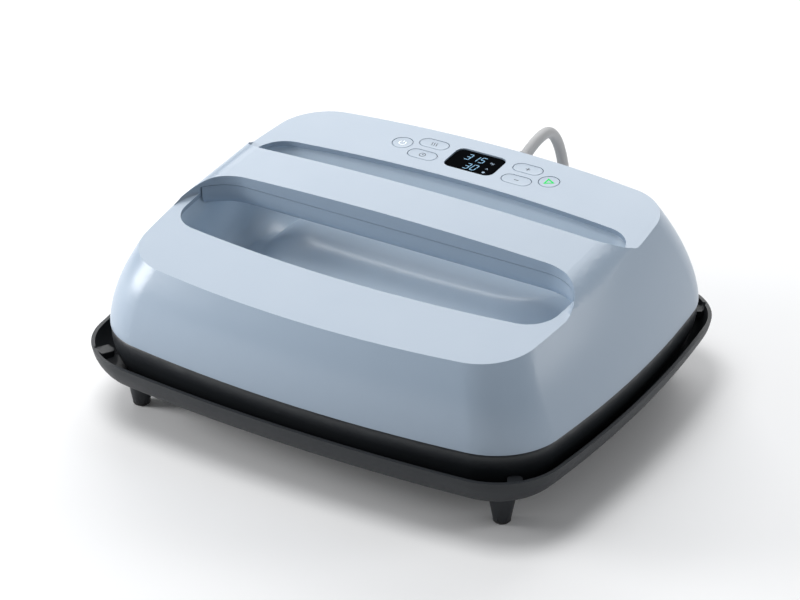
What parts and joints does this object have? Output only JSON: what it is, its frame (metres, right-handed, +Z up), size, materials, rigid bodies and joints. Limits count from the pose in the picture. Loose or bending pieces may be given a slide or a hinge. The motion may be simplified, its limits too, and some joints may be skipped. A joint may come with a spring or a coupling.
{
  "type": "craft heat press",
  "caption": "Flat hand-held craft heat press with a recessed grip, a keypad and display on its rear edge, a heated plate below, a mains cord, and a footed safety base it stands in.",
  "frame": {"origin": "on the ground, under the middle of the base's rim", "axes": "+X to the user's right, +Y away from the user towards the display and the cord, +Z up"},
  "size_m": [0.3735, 0.4124, 0.1299],
  "materials": {
    "shell_blue": "satin",
    "skirt_charcoal": "fine matt",
    "tray_charcoal": "fine matt",
    "foot_rubber": "matt",
    "mat_fabric": "woven",
    "plate_coating": "ceramic-coated, satin",
    "rod_steel": "heat-tinted",
    "ceramic_white": "glazed ceramic",
    "blanket_fibre": "felted fibre",
    "shield_foil": "rolled",
    "chassis_steel": "zinc-plated",
    "screw_steel": "zinc-plated",
    "cutoff_shell": "pressed",
    "board_green": "solder mask",
    "part_black": "moulded",
    "part_blue": "moulded",
    "part_green": "moulded",
    "core_steel": "varnished",
    "can_aluminium": "sleeved",
    "sink_aluminium": "anodised",
    "key_blue": "satin",
    "pad_rubber": "matt",
    "lens_black": "polished",
    "module_white": "moulded",
    "cord_grey": "satin",
    "relief_grey": "satin",
    "blade_metal": "nickel-plated",
    "lead_white": "sleeved",
    "lead_grey": "sleeved",
    "ribbon_grey": "flat cable"
  },
  "bodies": {
    "base": {"base_tray": "tray_charcoal", "foot_pads": "foot_rubber", "rest_mat": "mat_fabric", "cord_coil": "cord_grey", "plug_body": "relief_grey", "plug_blades": "blade_metal"},
    "press": {"lower_skirt": "skirt_charcoal", "upper_housing": "shell_blue", "handle_underside": "shell_blue", "grip_liner": "shell_blue", "handle_screws": "screw_steel", "housing_screws": "screw_steel", "plate_screws": "screw_steel", "board_screws": "screw_steel", "panel_screws": "screw_steel", "heat_plate": "plate_coating", "heating_element": "rod_steel", "terminal_bushes": "ceramic_white", "insulation_blanket": "blanket_fibre", "heat_shield": "shield_foil", "plate_standoffs": "chassis_steel", "chassis_plate": "chassis_steel", "thermal_cutoffs": "cutoff_shell", "temperature_sensor": "cutoff_shell", "power_board": "board_green", "transformer": "core_steel", "relay": "part_blue", "terminal_block": "part_green", "filter_capacitor": "can_aluminium", "heat_sink": "sink_aluminium", "display_lens": "lens_black", "display_module": "module_white", "keypad_mat": "pad_rubber", "control_board": "board_green", "buzzer": "part_black", "strain_relief": "relief_grey", "power_cord": "cord_grey", "mains_lead": "lead_grey", "heater_leads": "lead_white", "panel_ribbon": "ribbon_grey"},
    "power_button": {"power_button": "key_blue"},
    "start_button": {"start_button": "key_blue"},
    "heat_button": {"heat_button": "key_blue"},
    "timer_button": {"timer_button": "key_blue"},
    "plus_button": {"plus_button": "key_blue"},
    "minus_button": {"minus_button": "key_blue"}
  },
  "joints": [
    {"name": "press_lift", "type": "slide", "parent": "base", "child": "press", "axis": [0, 0, 1], "range_m": [0, 0.06], "deforming": ["power_cord"]},
    {"name": "power_key", "type": "slide", "parent": "press", "child": "power_button", "axis": [0, 0.0609, -0.9981], "range_m": [0, 0.0008], "stiffness_N_per_m": 500},
    {"name": "start_key", "type": "slide", "parent": "press", "child": "start_button", "axis": [0, 0.0609, -0.9981], "range_m": [0, 0.0008], "stiffness_N_per_m": 500},
    {"name": "heat_key", "type": "slide", "parent": "press", "child": "heat_button", "axis": [0, 0.0609, -0.9981], "range_m": [0, 0.0008], "stiffness_N_per_m": 500},
    {"name": "timer_key", "type": "slide", "parent": "press", "child": "timer_button", "axis": [0, 0.0609, -0.9981], "range_m": [0, 0.0008], "stiffness_N_per_m": 500},
    {"name": "plus_key", "type": "slide", "parent": "press", "child": "plus_button", "axis": [0, 0.0609, -0.9981], "range_m": [0, 0.0008], "stiffness_N_per_m": 500},
    {"name": "minus_key", "type": "slide", "parent": "press", "child": "minus_button", "axis": [0, 0.0609, -0.9981], "range_m": [0, 0.0008], "stiffness_N_per_m": 500}
  ]
}
